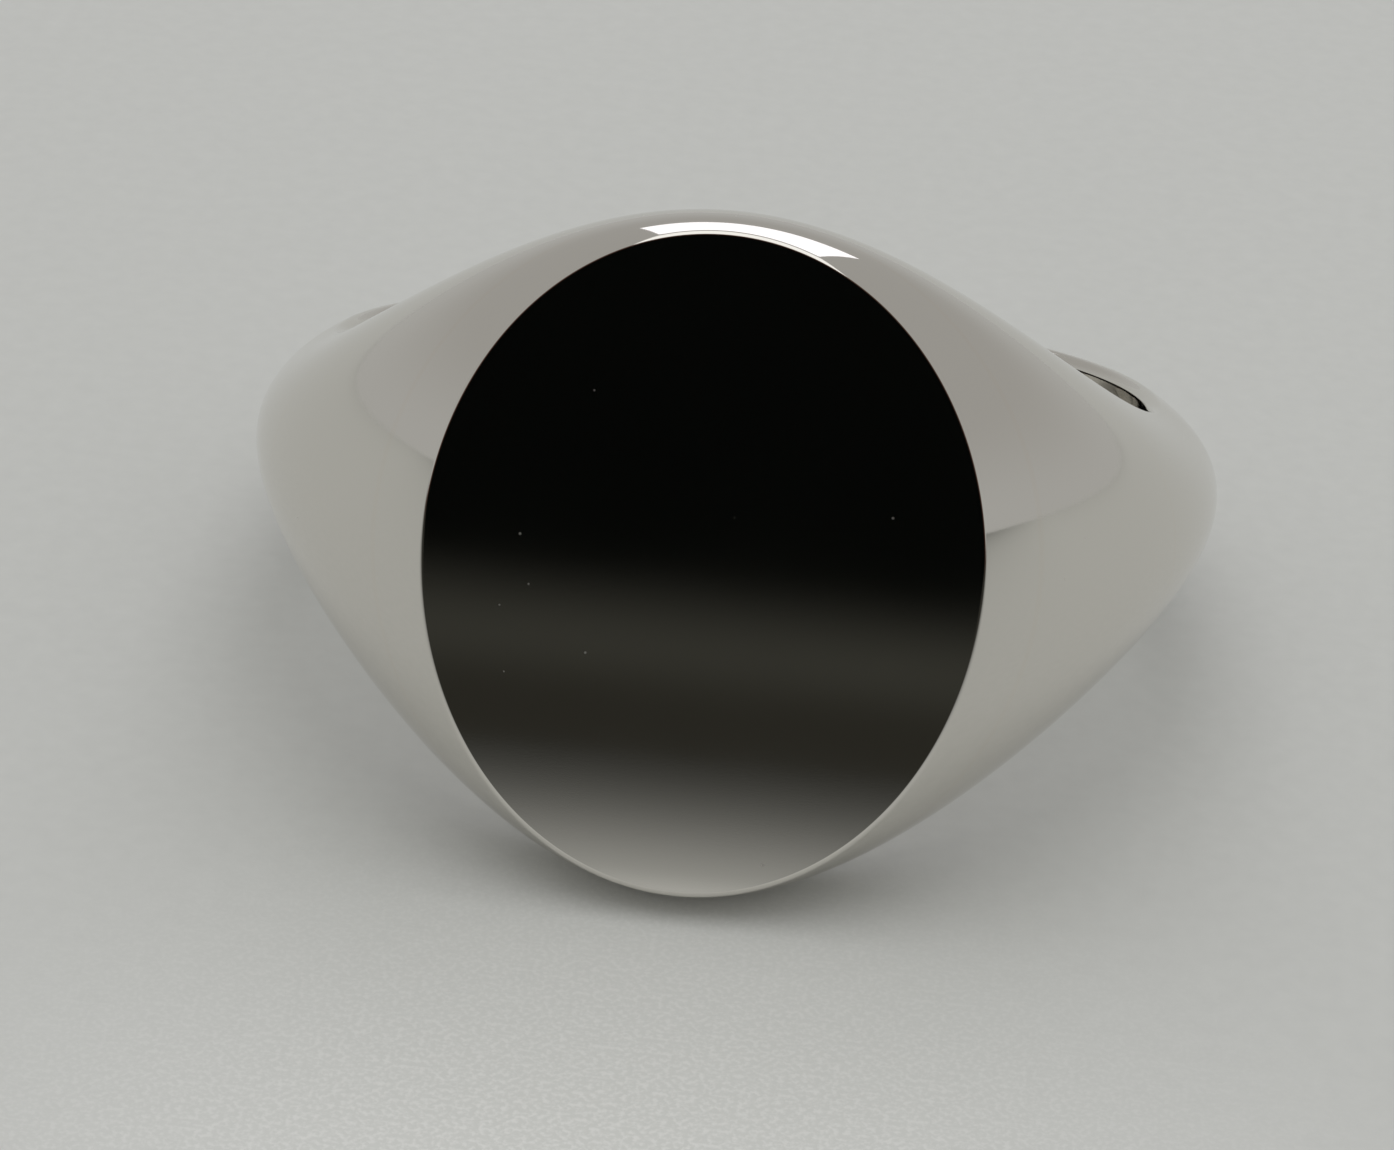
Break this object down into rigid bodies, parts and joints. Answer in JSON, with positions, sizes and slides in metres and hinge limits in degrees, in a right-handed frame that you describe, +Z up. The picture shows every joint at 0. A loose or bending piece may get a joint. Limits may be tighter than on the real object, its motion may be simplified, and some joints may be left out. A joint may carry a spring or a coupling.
{
  "type": "signet ring",
  "caption": "Plain signet ring in solid silver with a flat mirror-polished oval face, tapering shoulders and a narrow D-section shank.",
  "frame": {"origin": "on the table plane, under the centre of the ring's outer box, with the ring lying on its side", "axes": "+Z up from the table, +X across the finger, the face looks towards -Y and is tilted up by 16.6 degrees, the finger hole's axis leans back from +Z by the same angle"},
  "size_m": [0.0218, 0.0231, 0.0141],
  "materials": {
    "polished_silver": "sterling silver, mirror polished",
    "hard_solder": "hard silver solder, dressed flush and polished"
  },
  "bodies": {
    "root": {"face_plate": "polished_silver", "face_solder": "hard_solder", "head_block": "polished_silver", "left_head_solder": "hard_solder", "left_shank_solder": "hard_solder", "left_shoulder": "polished_silver", "lower_shank": "polished_silver", "right_head_solder": "hard_solder", "right_shank_solder": "hard_solder", "right_shoulder": "polished_silver"}
  },
  "joints": []
}
